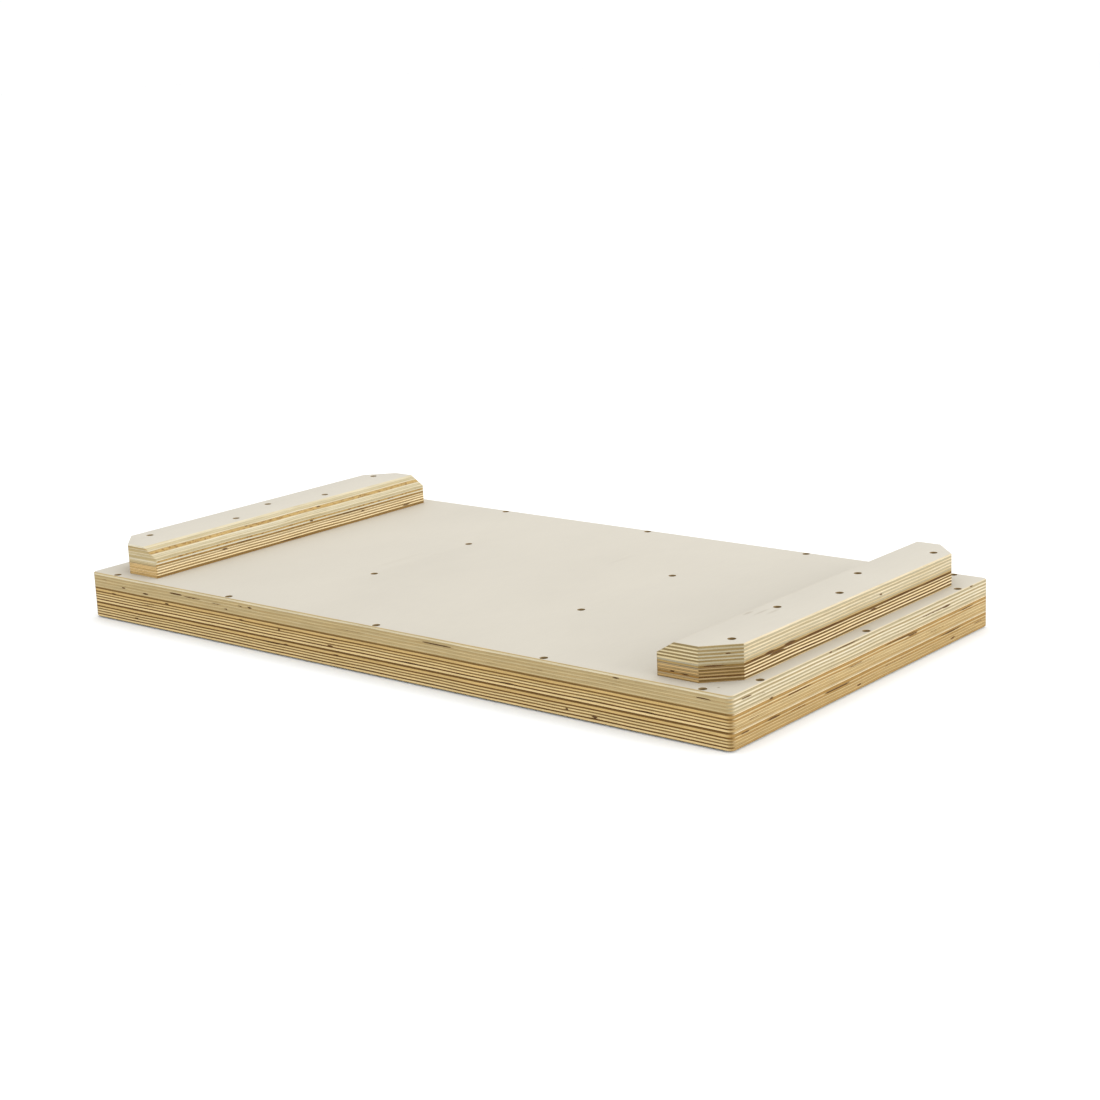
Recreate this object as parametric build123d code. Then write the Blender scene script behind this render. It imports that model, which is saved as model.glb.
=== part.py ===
"""Low plywood transfer board: a deck of three glued and screwed sheets, with a raised rail at each end.

Units are millimetres. X runs along the board, Y across it and Z upwards.
The origin is the centre of the underside, where the board rests.
"""
import os

from build123d import *

os.makedirs("parts", exist_ok=True)

# ---- Deck: three equal sheets of 11-ply birch plywood, one on another ----
DECK_LENGTH = 762.5
DECK_WIDTH = 412.5
SHEET_THICKNESS = 15.0
SHEET_NAMES = ["bottom_panel", "middle_panel", "top_panel"]
DECK_CORNER_RADIUS = 5.0
DECK_EDGE_ROUND = 1.5

# ---- Rails: a lower strip of 9-ply sheet under a cap of 13-ply sheet, one rail at each end ----
RAIL_SETBACK = 15.0
RAIL_WIDTH = 66.25
STRIP_THICKNESS = 11.75
CAP_THICKNESS = 18.0
RAIL_CORNER_CUT = 25.6
BEVEL_WIDTH = 17.0
BEVEL_DROP = 10.25
RAIL_UPRIGHT_ROUND = 1.25
RAIL_TOP_ROUND = 0.6

# ---- Countersunk wood screws, driven below the surface ----
SCREW_RADIUS = 1.75
SCREW_CORE_RADIUS = 1.2
SCREW_NECK_RADIUS = 1.35
SCREW_NECK_LENGTH = 6.0
SCREW_HEAD_RADIUS = 3.4
SCREW_HEAD_RIM = 0.4
SCREW_POINT_LENGTH = 3.5
SCREW_PITCH = 1.6
SCREW_SUNK = 2.0
SCREW_FIT = 0.05
CROSS_LENGTH = 3.7
CROSS_WIDTH = 0.9
CROSS_DEPTH = 1.6
DECK_SCREW_LENGTH = 35.0
RAIL_SCREW_LENGTH = 50.0

# ---- Where the screws stand ----
EDGE_MARGIN = 5.25
FRONT_ROW_X = [-347.5, -187.5, 2.5, 192.5, 351.2]
BACK_ROW_X = [-348.7, -190.0, 0.0, 190.0, 348.7]
END_ROW_Y = [-158.7, 1.2, 158.7]
FIELD_X = 126.9
FIELD_Y = 68.7
RAIL_OUTER_ROW_MARGIN = 15.6
RAIL_INNER_ROW_MARGIN = 36.2
RAIL_OUTER_ROW_Y = [-160.0, 0.0, 160.0]
RAIL_INNER_ROW_Y = [-63.7, 63.7]
LEFT_RAIL, RIGHT_RAIL = -1, 1
RAIL_ROW_SHIFT = {LEFT_RAIL: 5.6, RIGHT_RAIL: 0.6}

# ---- Worked out from the dimensions above ----
DECK_TOP = SHEET_THICKNESS * len(SHEET_NAMES)
STRIP_TOP = DECK_TOP + STRIP_THICKNESS
RAIL_TOP = STRIP_TOP + CAP_THICKNESS
RAIL_HALF_LENGTH = DECK_WIDTH / 2 - RAIL_SETBACK
RAIL_OUTER_X = DECK_LENGTH / 2 - RAIL_SETBACK
RAIL_INNER_X = RAIL_OUTER_X - RAIL_WIDTH
BEVEL_FOOT = RAIL_TOP - BEVEL_DROP
HEAD_CONE = SCREW_HEAD_RADIUS - SCREW_NECK_RADIUS


def turned(outline):
    """A solid of revolution about the Z axis, from an outline of (radius, height) points."""
    return revolve(Plane.XZ * make_face(Polyline(*outline, close=True)), Axis.Z)


def screw(length):
    """A countersunk screw hanging down from the origin: head, plain neck, ridged shank and point."""
    shank_start = SCREW_HEAD_RIM + HEAD_CONE + SCREW_NECK_LENGTH
    shank_end = length - SCREW_POINT_LENGTH
    outline = [
        (0, 0),
        (SCREW_HEAD_RADIUS, 0),
        (SCREW_HEAD_RADIUS, -SCREW_HEAD_RIM),
        (SCREW_NECK_RADIUS, -SCREW_HEAD_RIM - HEAD_CONE),
        (SCREW_NECK_RADIUS, -shank_start),
    ]
    for ridge in range(int((shank_end - shank_start) / SCREW_PITCH)):
        top = -shank_start - ridge * SCREW_PITCH
        outline.append((SCREW_CORE_RADIUS, top - 0.1 * SCREW_PITCH))
        outline.append((SCREW_CORE_RADIUS, top - 0.5 * SCREW_PITCH))
        outline.append((SCREW_RADIUS, top - 0.8 * SCREW_PITCH))
    outline.append((SCREW_CORE_RADIUS, -shank_end))
    outline.append((0, -length))
    along = Box(CROSS_LENGTH, CROSS_WIDTH, 2 * CROSS_DEPTH)
    across = Box(CROSS_WIDTH, CROSS_LENGTH, 2 * CROSS_DEPTH)
    return turned(outline) - along - across


def screw_space(length):
    """The hole that one screw needs: pocket above the head, countersink, bore and conical end."""
    head = SCREW_HEAD_RADIUS + SCREW_FIT
    bore = SCREW_RADIUS + SCREW_FIT
    return turned([
        (0, 2 * SCREW_SUNK),
        (head, 2 * SCREW_SUNK),
        (head, -SCREW_HEAD_RIM),
        (bore, -SCREW_HEAD_RIM - (head - bore)),
        (bore, SCREW_POINT_LENGTH - length),
        (0, -length - SCREW_FIT),
    ])


def sunk(shape, places, top):
    """Copies of a screw or its space at each (x, y), sunk below the surface at height top."""
    return [Pos(x, y, top - SCREW_SUNK) * shape for x, y in places]


def deck_screw_rows():
    """Named rows of the screws that hold the three sheets together, as lists of (x, y)."""
    long_row_y = DECK_WIDTH / 2 - EDGE_MARGIN
    end_row_x = DECK_LENGTH / 2 - EDGE_MARGIN
    return {
        "front_edge_screws": [(x, -long_row_y) for x in FRONT_ROW_X],
        "back_edge_screws": [(x, long_row_y) for x in BACK_ROW_X],
        "left_end_screws": [(-end_row_x, y) for y in END_ROW_Y],
        "right_end_screws": [(end_row_x, y) for y in END_ROW_Y],
        "field_screws": [(x, y) for x in (-FIELD_X, FIELD_X) for y in (-FIELD_Y, FIELD_Y)],
    }


def rail_screw_places(side):
    """Five screws in a zigzag along the rail at one side of the board."""
    outer_x = side * (RAIL_OUTER_X - RAIL_OUTER_ROW_MARGIN)
    inner_x = side * (RAIL_OUTER_X - RAIL_INNER_ROW_MARGIN)
    shift = RAIL_ROW_SHIFT[side]
    outer_row = [(outer_x, y + shift) for y in RAIL_OUTER_ROW_Y]
    inner_row = [(inner_x, y + shift) for y in RAIL_INNER_ROW_Y]
    return outer_row + inner_row


def deck_sheet(index):
    """One sheet of the deck; the top and bottom rims of the stack are sanded round."""
    outline = RectangleRounded(DECK_LENGTH, DECK_WIDTH, DECK_CORNER_RADIUS)
    sheet = Pos(0, 0, index * SHEET_THICKNESS) * extrude(outline, SHEET_THICKNESS)
    if index == 0:
        sheet = fillet(sheet.edges().group_by(Axis.Z)[0], DECK_EDGE_ROUND)
    if index == len(SHEET_NAMES) - 1:
        sheet = fillet(sheet.edges().group_by(Axis.Z)[-1], DECK_EDGE_ROUND)
    return sheet


def rail_plan(side):
    """Plan of a rail: a strip with the two corners at the end of the board cut off at 45 degrees."""
    points = [
        (RAIL_INNER_X, -RAIL_HALF_LENGTH),
        (RAIL_OUTER_X - RAIL_CORNER_CUT, -RAIL_HALF_LENGTH),
        (RAIL_OUTER_X, -RAIL_HALF_LENGTH + RAIL_CORNER_CUT),
        (RAIL_OUTER_X, RAIL_HALF_LENGTH - RAIL_CORNER_CUT),
        (RAIL_OUTER_X - RAIL_CORNER_CUT, RAIL_HALF_LENGTH),
        (RAIL_INNER_X, RAIL_HALF_LENGTH),
    ]
    return make_face(Polyline(*[(side * x, y) for x, y in points], close=True))


def rail_layer(side, bottom, thickness):
    """A flat layer of a rail with its upright corners eased."""
    layer = Pos(0, 0, bottom) * extrude(rail_plan(side), thickness, dir=(0, 0, 1))
    return fillet(layer.edges().filter_by(Axis.Z), RAIL_UPRIGHT_ROUND)


def rail_cap(side):
    """The upper layer of a rail, bevelled along its whole inner edge, with its top sanded."""
    inner_x = side * RAIL_INNER_X
    wedge = make_face(Polyline(
        (inner_x, BEVEL_FOOT),
        (inner_x + side * BEVEL_WIDTH, RAIL_TOP),
        (inner_x, RAIL_TOP),
        close=True,
    ))
    cap = rail_layer(side, STRIP_TOP, CAP_THICKNESS)
    cap -= extrude(Plane.XZ * wedge, DECK_WIDTH / 2, both=True)
    sanded = cap.edges().filter_by(lambda edge: edge.bounding_box().min.Z > BEVEL_FOOT - RAIL_TOP_ROUND)
    return fillet(sanded, RAIL_TOP_ROUND)


def save(shape, name):
    """Write one node; several solids go side by side in one compound."""
    node = Compound(label=name, children=shape) if isinstance(shape, list) else shape
    export_step(node, f"parts/{name}.step")


deck_rows = deck_screw_rows()
deck_places = [place for row in deck_rows.values() for place in row]
rail_places = {side: rail_screw_places(side) for side in (LEFT_RAIL, RIGHT_RAIL)}

spaces = sunk(screw_space(DECK_SCREW_LENGTH), deck_places, DECK_TOP)
for places in rail_places.values():
    spaces += sunk(screw_space(RAIL_SCREW_LENGTH), places, RAIL_TOP)

for index, sheet_name in enumerate(SHEET_NAMES):
    save(deck_sheet(index) - spaces, sheet_name)
for side, side_name in ((LEFT_RAIL, "left"), (RIGHT_RAIL, "right")):
    save(rail_layer(side, DECK_TOP, STRIP_THICKNESS) - spaces, f"{side_name}_rail_strip")
    save(rail_cap(side) - spaces, f"{side_name}_rail_cap")
    save(sunk(screw(RAIL_SCREW_LENGTH), rail_places[side], RAIL_TOP), f"{side_name}_rail_screws")
for row_name, row_places in deck_rows.items():
    save(sunk(screw(DECK_SCREW_LENGTH), row_places, DECK_TOP), row_name)
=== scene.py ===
# %% [markdown]
# # A plywood transfer board
#
# The board is a low platform that helps a person move from one seat to another. Three sheets of
# birch plywood lie one on another, and a bevelled rail stands at each end. Everything that the eye
# reads on it is plywood: pale face veneer on top, and on every edge the stripes of the plies, which
# show their long grain and their end grain in turn. So most of this lesson is about sheets whose
# edges are real: each ply, glue line and gap has its own height in the mesh and its own wood.

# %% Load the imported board
import math

import bpy
import numpy as np
from mathutils import Matrix, Vector
from mathutils.geometry import delaunay_2d_cdt


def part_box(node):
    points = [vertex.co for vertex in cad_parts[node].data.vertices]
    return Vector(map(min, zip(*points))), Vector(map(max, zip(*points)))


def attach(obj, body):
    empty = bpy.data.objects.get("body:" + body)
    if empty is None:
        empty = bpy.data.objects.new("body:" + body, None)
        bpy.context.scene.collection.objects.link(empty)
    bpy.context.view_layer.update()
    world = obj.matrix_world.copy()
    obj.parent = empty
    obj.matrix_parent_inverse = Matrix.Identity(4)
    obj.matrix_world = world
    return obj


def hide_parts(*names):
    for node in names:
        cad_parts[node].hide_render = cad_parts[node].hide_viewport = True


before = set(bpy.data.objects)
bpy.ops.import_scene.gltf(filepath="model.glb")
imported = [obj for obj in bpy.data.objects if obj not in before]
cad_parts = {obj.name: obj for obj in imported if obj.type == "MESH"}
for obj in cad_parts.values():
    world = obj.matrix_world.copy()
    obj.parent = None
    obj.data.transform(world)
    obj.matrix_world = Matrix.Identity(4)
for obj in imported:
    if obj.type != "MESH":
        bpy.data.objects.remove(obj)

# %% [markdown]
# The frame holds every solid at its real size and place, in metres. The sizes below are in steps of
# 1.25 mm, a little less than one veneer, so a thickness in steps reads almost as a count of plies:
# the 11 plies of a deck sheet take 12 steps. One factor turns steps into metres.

STEP = 0.00125
scene = bpy.context.scene
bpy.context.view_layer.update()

# %% [markdown]
# ## Camera
#
# The board is seen from a low stand, a little above one corner, through a fairly long lens. Three
# turns point the camera: round the board, down to it, and a slight lean about its own line of
# sight. A move along its turned axes then takes it away from the board, which is easier to reason
# about than a bare matrix.

# %% Camera
CAMERA_AZIMUTH = math.radians(39.76)
CAMERA_ELEVATION = math.radians(13.73)
CAMERA_LEAN = math.radians(-2.46)
CAMERA_MOVE = Vector((0.0254, 0.067, 1.9925))
FOCAL_LENGTH = 68.4
SENSOR_WIDTH = 36.0

camera = bpy.data.objects.new("camera", bpy.data.cameras.new("camera"))
scene.collection.objects.link(camera)
camera.data.lens = FOCAL_LENGTH
camera.data.sensor_width = SENSOR_WIDTH
camera.data.clip_end = 100.0
pointing = (
    Matrix.Rotation(CAMERA_AZIMUTH, 4, "Z")
    @ Matrix.Rotation(math.radians(90) - CAMERA_ELEVATION, 4, "X")
    @ Matrix.Rotation(CAMERA_LEAN, 4, "Z")
)
camera.matrix_world = pointing @ Matrix.Translation(CAMERA_MOVE)
scene.camera = camera
print("camera stands at", [round(value, 3) for value in camera.matrix_world.translation])

# %% [markdown]
# ## Floor and light
#
# The board stands in a white tent: an even white surround, a soft lamp overhead and another at the
# right end, which makes that end the brightest edge. A lone sun would draw hard shadows in every
# screw pocket, so both lamps are large sheets of light. The floor lies 1 mm under the board, which
# leaves a thin dark line below its edges, as a rounded rim on a real floor does. The plain view
# transform keeps the colours of the wood as they are mixed.

# %% Floor and light
FLOOR_HALF_SIZE = 30.0
FLOOR_DROP = 0.001
FLOOR_WHITE = 0.975
SURROUND = 1.035
OVERHEAD_PLACE = (-0.375, 0.5, 2.75)
OVERHEAD_SIZE = 2.0
OVERHEAD_POWER = 21.9
END_LAMP_PLACE = (5.75, 0.25, 1.3125)
END_LAMP_SIZE = 3.125
END_LAMP_POWER = 181.0


def mesh_object(name, points, faces):
    """A mesh object at the origin, from an array of points and lists of corner numbers."""
    mesh = bpy.data.meshes.new(name)
    mesh.from_pydata(np.asarray(points).tolist(), [], faces)
    made = bpy.data.objects.new(name, mesh)
    scene.collection.objects.link(made)
    return made


def lamp(name, place, aim, size, power):
    """A square sheet of light at a place, turned to face a point."""
    made = bpy.data.objects.new(name, bpy.data.lights.new(name, "AREA"))
    scene.collection.objects.link(made)
    made.data.shape = "SQUARE"
    made.data.size = size
    made.data.energy = power
    towards = Vector(aim) - Vector(place)
    made.matrix_world = Matrix.Translation(place) @ towards.to_track_quat("-Z", "Y").to_matrix().to_4x4()
    return made


corners = FLOOR_HALF_SIZE * np.array([(-1, -1), (1, -1), (1, 1), (-1, 1)])
floor = mesh_object("floor", np.column_stack([corners, np.full(4, -FLOOR_DROP)]), [(0, 1, 2, 3)])
scene.world = bpy.data.worlds.new("tent")
scene.world.use_nodes = True
scene.world.node_tree.nodes["Background"].inputs["Color"].default_value = (1.0, 1.0, 1.0, 1.0)
scene.world.node_tree.nodes["Background"].inputs["Strength"].default_value = SURROUND
lamp("overhead lamp", OVERHEAD_PLACE, (0.0, 0.0, 0.0), OVERHEAD_SIZE, OVERHEAD_POWER)
lamp("end lamp", END_LAMP_PLACE, (0.0, 0.0, 0.0), END_LAMP_SIZE, END_LAMP_POWER)
scene.view_settings.view_transform = "Standard"

# %% [markdown]
# ## Writing shader maths as plain expressions
#
# A wood pattern is a formula: depth, noise and masks added and multiplied. Written node by node it
# is hard to read, so a small class wraps one socket and lets `1 - mask * 0.5` add the Math nodes.
# Every other node comes from one method, which sets what kind of node it is before its values.

# %% Wires and finishes


class Wire:
    """One value in a material. Arithmetic on it adds Math nodes to the same material."""

    def __init__(self, finish, socket):
        self.finish = finish
        self.socket = socket

    def maths(self, operation, *values):
        """The result of one Math node."""
        return self.finish.node("ShaderNodeMath", {"operation": operation}, dict(enumerate(values)))

    def __add__(self, other):
        return self.maths("ADD", self, other)

    def __sub__(self, other):
        return self.maths("SUBTRACT", self, other)

    def __rsub__(self, other):
        return self.maths("SUBTRACT", other, self)

    def __mul__(self, other):
        return self.maths("MULTIPLY", self, other)

    def __truediv__(self, other):
        return self.maths("DIVIDE", self, other)

    def __abs__(self):
        return self.maths("ABSOLUTE", self)

    def __pow__(self, other):
        return self.maths("POWER", self, other)

    __radd__ = __add__
    __rmul__ = __mul__

    def smooth(self, low, high):
        """0 below low, 1 above high, and an S-shaped rise between."""
        settings = {"interpolation_type": "SMOOTHSTEP"}
        values = {"Value": self, "From Min": low, "From Max": high}
        return self.finish.node("ShaderNodeMapRange", settings, values)

    def clamped(self):
        """This value kept between 0 and 1."""
        return self.finish.node("ShaderNodeClamp", {}, {"Value": self})


class Finish:
    """A material under way: a tree of nodes that ends in one Principled surface."""

    def __init__(self, name):
        self.material = bpy.data.materials.new(name)
        self.material.use_nodes = True
        self.tree = self.material.node_tree
        self.surface = self.tree.nodes["Principled BSDF"]
        place = self.node("ShaderNodeTexCoord", {}, {}, "Object")
        self.place = self.vector("SCALE", place, scale=1 / STEP)
        self.x, self.y, self.z = self.parts(self.place)

    def node(self, kind, settings, values, output=0):
        """Adds a node: its settings first, then a number, colour or wire for each socket."""
        made = self.tree.nodes.new(kind)
        for name, value in settings.items():
            if name == "stops":
                self.set_stops(made.color_ramp, value)
            else:
                setattr(made, name, value)
        for name, value in values.items():
            self.feed(made.inputs[name], value)
        return Wire(self, made.outputs[output])

    def set_stops(self, ramp, stops):
        """Gives a ramp its steps, as (position, colour) pairs with no blend between them."""
        ramp.interpolation = "CONSTANT"
        while len(ramp.elements) < len(stops):
            ramp.elements.new(1.0)
        for element, (position, colour) in zip(ramp.elements, stops):
            element.position = position
            element.color = colour

    def feed(self, socket, value):
        """Links a wire to a socket, or sets the socket's own value."""
        if isinstance(value, Wire):
            self.tree.links.new(value.socket, socket)
        elif isinstance(value, tuple) and len(value) == 3 and socket.type == "RGBA":
            socket.default_value = (*value, 1.0)
        else:
            socket.default_value = value

    def vector(self, operation, *vectors, scale=None):
        """The result of one Vector Math node."""
        values = dict(enumerate(vectors))
        if scale is not None:
            values["Scale"] = scale
        return self.node("ShaderNodeVectorMath", {"operation": operation}, values)

    def parts(self, vector):
        """The x, y and z of a vector, or the red, green and blue of a colour, as three wires."""
        split = self.node("ShaderNodeSeparateXYZ", {}, {0: vector})
        return [Wire(self, output) for output in split.socket.node.outputs]

    def joined(self, x, y, z):
        """A vector from three values or wires."""
        return self.node("ShaderNodeCombineXYZ", {}, {0: x, 1: y, 2: z})

    def attribute(self, name):
        """A number that the mesh carries at every point."""
        return self.node("ShaderNodeAttribute", {"attribute_name": name}, {}, "Fac")

    def noise(self, place, scale=1.0, detail=2.0, roughness=0.5, shift=0.0):
        """Smooth noise about 0, from -0.5 to 0.5. The scale is in waves per unit of place."""
        moved = self.vector("ADD", place, (shift, shift * 0.7, shift * 1.3))
        values = {"Vector": moved, "Scale": scale, "Detail": detail, "Roughness": roughness}
        return self.node("ShaderNodeTexNoise", {}, values) - 0.5

    def mix(self, share, first, second):
        """A colour between two, at a share from 0 to 1."""
        settings = {"data_type": "RGBA", "clamp_factor": True}
        return self.node("ShaderNodeMix", settings, {0: share, 6: first, 7: second}, 2)

    def brightened(self, colour, amount):
        """A colour multiplied by an amount, wire or number."""
        return self.vector("SCALE", colour, scale=amount)

    def tinted(self, colour, shade):
        """A wood colour at a brightness: red times s^0.7, green times s, blue times s^1.75."""
        return self.vector("MULTIPLY", colour, self.joined(shade**0.7, shade, shade**1.75))

    def bump(self, height, strength=1.0):
        """A surface normal that is tilted by a height in metres."""
        values = {"Height": height, "Distance": 1.0, "Strength": strength}
        return self.node("ShaderNodeBump", {}, values)

    def finish(self, **inputs):
        """Links the surface's inputs, by names with _ for spaces, and gives the material."""
        for name, value in inputs.items():
            self.feed(self.surface.inputs[name.replace("_", " ")], value)
        print("finish:", self.material.name, len(self.tree.nodes), "nodes")
        return self.material


# %% [markdown]
# ## The layup of each sheet
#
# Plywood is a stack of thin veneers, each glued across the one before. In all these sheets the face
# veneers run across the board, along Y, so every second ply shows its long grain on the ends of
# the board and its end grain on the long edges, and the plies between do the opposite. A list of
# thicknesses is the whole design. No two logs match, so every ply also has its own brightness, once
# for the ends of the board and once for its long sides, because a cut across the grain and a cut
# along it darken differently. The lowest ply of the left strip is the exception: its dark value on
# the ends is painted shade at the foot of the rail.

# %% Layups
CORE_PLIES = [0.85, 1.85, 1.0, 1.15, 0.8, 1.1, 0.9, 1.3, 0.9, 1.55, 0.6]
STRIP_PLIES = [0.8, 1.1, 1.05, 1.0, 1.1, 1.15, 1.1, 1.4, 0.7]
TOP_SHEET = {
    "plies": [0.6, 1.3, 1.2, 1.2, 1.2, 1.15, 1.15, 1.15, 1.2, 1.25, 0.6],
    "ends": [1.0, 0.92, 1.0, 0.82, 1.03, 0.9, 1.0, 0.9, 0.95, 0.92, 0.9],
    "sides": [0.95, 1.4, 0.97, 1.0, 0.95, 1.0, 0.95, 1.0, 0.98, 0.97, 0.7],
}
MIDDLE_SHEET = {
    "plies": CORE_PLIES,
    "ends": [1.15, 0.68, 0.92, 0.72, 0.87, 0.98, 0.85, 0.96, 0.8, 0.88, 1.02],
    "sides": [0.85, 0.72, 0.8, 0.82, 1.0, 1.0, 1.0, 0.92, 0.45, 1.0, 0.8],
}
BOTTOM_SHEET = {
    "plies": CORE_PLIES,
    "ends": [1.1, 0.62, 0.78, 0.72, 0.8, 0.84, 0.73, 0.86, 0.72, 0.78, 0.76],
    "sides": [0.7, 0.75, 0.62, 0.93, 1.0, 1.0, 1.0, 1.0, 0.42, 1.0, 0.8],
}
CAP_SHEETS = {
    "left": {
        "plies": [1.3, 1.2, 0.9, 1.7, 0.9, 1.0, 1.0, 1.2, 1.0, 1.4, 1.3, 1.0, 0.5],
        "ends": [1.03, 0.97, 1.0, 0.74, 1.05, 1.05, 1.0, 0.88, 1.02, 0.75, 1.15, 0.45, 0.5],
        "sides": [1.45, 0.68, 1.1, 0.8, 1.2, 0.95, 1.2, 0.85, 0.9, 1.3, 1.05, 0.9, 0.9],
    },
    "right": {
        "plies": [1.3, 1.2, 1.1, 1.1, 1.2, 1.1, 1.1, 1.1, 1.1, 1.3, 1.2, 1.1, 0.5],
        "ends": [1.0, 0.98, 0.92, 0.93, 0.97, 1.0, 0.95, 1.0, 0.82, 0.95, 0.52, 0.22, 0.12],
        "sides": [1.05, 1.05, 1.05, 1.05, 1.0, 1.05, 1.05, 1.05, 0.95, 1.0, 1.9, 0.55, 1.5],
    },
}
STRIP_SHEETS = {
    "left": {
        "plies": STRIP_PLIES,
        # The last value, 0.3, is painted shade: the lowest ply is darkened at the foot of the rail's inner
        # face, where it meets the deck.
        "ends": [1.0, 1.7, 1.0, 1.5, 1.0, 1.15, 0.95, 0.9, 0.3],
        "sides": [1.12, 0.98, 1.05, 0.83, 1.15, 0.95, 1.1, 0.78, 1.2],
    },
    "right": {
        "plies": STRIP_PLIES,
        "ends": [1.0, 1.0, 0.95, 1.3, 1.0, 0.75, 1.03, 1.1, 0.9],
        "sides": [1.5, 1.0, 1.2, 0.9, 1.05, 0.45, 1.5, 0.9, 1.0],
    },
}


def ply_bounds(layup):
    """Depth of every ply boundary in steps, from 0 at the sheet's top face."""
    return np.concatenate([[0.0], np.cumsum(layup["plies"])])


shown_layups = {
    "top": TOP_SHEET, "middle": MIDDLE_SHEET, "cap": CAP_SHEETS["left"], "strip": STRIP_SHEETS["left"],
}
for layup_name, layup in shown_layups.items():
    thickness_mm = round(float(ply_bounds(layup)[-1]) * STEP * 1000, 2)
    print(layup_name, "sheet:", len(layup["plies"]), "plies,", thickness_mm, "mm")

# %% [markdown]
# ## Outlines that can shrink
#
# Seen from above, every sheet is a convex shape with straight sides and small round corners. Each
# side is a line with an outward direction and a distance, so a rounded rim or a bevel is only that
# line moved inwards on the rows near it. The corners then follow by themselves.

# %% Rounded outlines
ARC_STEPS = 6


def lines_through(corners):
    """Sides of a convex outline as rows of (outward x, outward y, distance), anticlockwise."""
    ends = np.roll(corners, -1, axis=0)
    along = (ends - corners) / np.linalg.norm(ends - corners, axis=1, keepdims=True)
    outward = np.column_stack([along[:, 1], -along[:, 0]])
    return np.column_stack([outward, np.sum(outward * corners, axis=1)])


def outlines(sides, insets, radii, spacing):
    """Rounded outlines, one for each row of insets: points (rows, columns, 2) and normals (columns, 2).

    Side k is the line outward_k . p = distance_k - inset_k. Two neighbouring lines cross in a
    corner, and a round of radius r has its centre at corner - r (n0 + n1) / (1 + n0 . n1).
    """
    now, after = sides[:, :2], np.roll(sides[:, :2], -1, axis=0)
    cross = now[:, 0] * after[:, 1] - now[:, 1] * after[:, 0]
    dot = np.sum(now * after, axis=1)
    reach = sides[:, 2] - insets
    reach_after = np.roll(reach, -1, axis=1)
    corner_x = (reach * after[:, 1] - reach_after * now[:, 1]) / cross
    corner_y = (reach_after * now[:, 0] - reach * after[:, 0]) / cross
    corners = np.stack([corner_x, corner_y], axis=-1)
    radius = np.asarray(radii)[:, None, None]
    centres = corners - radius * (now + after) / (1 + dot)[:, None]
    turns = np.arctan2(cross, dot)
    first_angle = np.arctan2(now[:, 1], now[:, 0])
    points, normals = [], []
    for side in range(len(sides)):
        start = centres[:, side - 1] + radius[:, 0] * now[side]
        end = centres[:, side] + radius[:, 0] * now[side]
        count = max(2, round(float(np.linalg.norm(end[0] - start[0])) / spacing))
        share = np.arange(count)[None, :, None] / count
        points.append(start[:, None] * (1 - share) + end[:, None] * share)
        normals.append(np.tile(now[side], (count, 1)))
        angles = first_angle[side] + turns[side] * np.arange(ARC_STEPS) / ARC_STEPS
        spokes = np.column_stack([np.cos(angles), np.sin(angles)])
        points.append(centres[:, side, None] + radius * spokes)
        normals.append(spokes)
    return np.concatenate(points, axis=1), np.concatenate(normals)


# %% [markdown]
# ## The relief of a sawn edge
#
# A sawn and sanded plywood edge isn't flat. End grain stands a little back from long grain, the
# glue lines are fine grooves, and here and there a knot has fallen out or two veneers leave a gap.
# The grid of an edge has its rows on the plies and its columns round the outline. The rows lean
# gently up and down with the veneers, and the points are pushed inwards by the relief, never out,
# so the sheet keeps its size.

# %% Rows, waves and relief
GROOVE_HALF = 0.07
GROOVE_DEPTH = 0.06
END_GRAIN_DEPTH = 0.05
FLAW_DEPTH = 0.7
rng = np.random.default_rng(7)


def row_depths(layup, rim, arris):
    """Depths of the grid's rows: on and beside each glue line, inside each ply, and round the rims."""
    bounds = ply_bounds(layup)
    glue = bounds[1:-1]
    inside = [bounds[:-1] + share * np.diff(bounds) for share in (0.3, 0.7)]
    quarter = 1 - np.cos(np.linspace(0, math.pi / 2, 6))
    rims = [rim * quarter, bounds[-1] - arris * quarter]
    depths = np.sort(np.concatenate([glue - GROOVE_HALF, glue, glue + GROOVE_HALF, *inside, *rims]))
    keep = np.concatenate([[True], np.diff(depths) > 0.012])
    return depths[keep]


def rim_inset(depths, thickness, rim, arris):
    """How far a quarter round at the top (rim) and bottom (arris) draws the edge in at each depth."""
    top = np.clip(rim - depths, 0, rim)
    bottom = np.clip(arris - (thickness - depths), 0, arris)
    return rim - np.sqrt(rim**2 - top**2) + arris - np.sqrt(arris**2 - bottom**2)


def waviness(x, y, depths, thickness):
    """Rise of the plies in steps: long slow sines in x and y, nothing at the two faces."""
    swell = 0.16 * np.sin(x / 31 + 1.1) + 0.13 * np.sin(y / 17 + 0.4) + 0.09 * np.sin((x - y) / 11)
    return swell * np.sin(math.pi * depths / thickness)[:, None]


def ripples(columns, rows, waves, height):
    """Seeded noise round an outline, a sum of sines that closes on itself, one pattern per row."""
    turn = np.arange(columns) * (2 * math.pi / columns)
    phases = rng.uniform(0, 2 * math.pi, (rows, len(waves)))
    values = sum(np.sin(wave * turn + phases[:, [k]]) for k, wave in enumerate(waves))
    return height * values / len(waves)


def flaw_mask(points, depths, flaws):
    """How much of a knot or gap is at each point, 0 to 1: a soft ellipse round each flaw's place.

    A flaw is (x, y, depth, length, height, strength). Its mask falls off with
    (distance in plan / half length)^2 + (depth difference / half height)^2.
    """
    mask = np.zeros(points.shape[:2])
    for x, y, depth, length, height, strength in flaws:
        away = np.hypot(points[..., 0] - x, points[..., 1] - y) / (length / 2)
        below = (depths[:, None] - depth) / (height / 2)
        mask = np.maximum(mask, strength * np.clip(1.6 * (1 - away**2 - below**2), 0, 1))
    return mask


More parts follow.
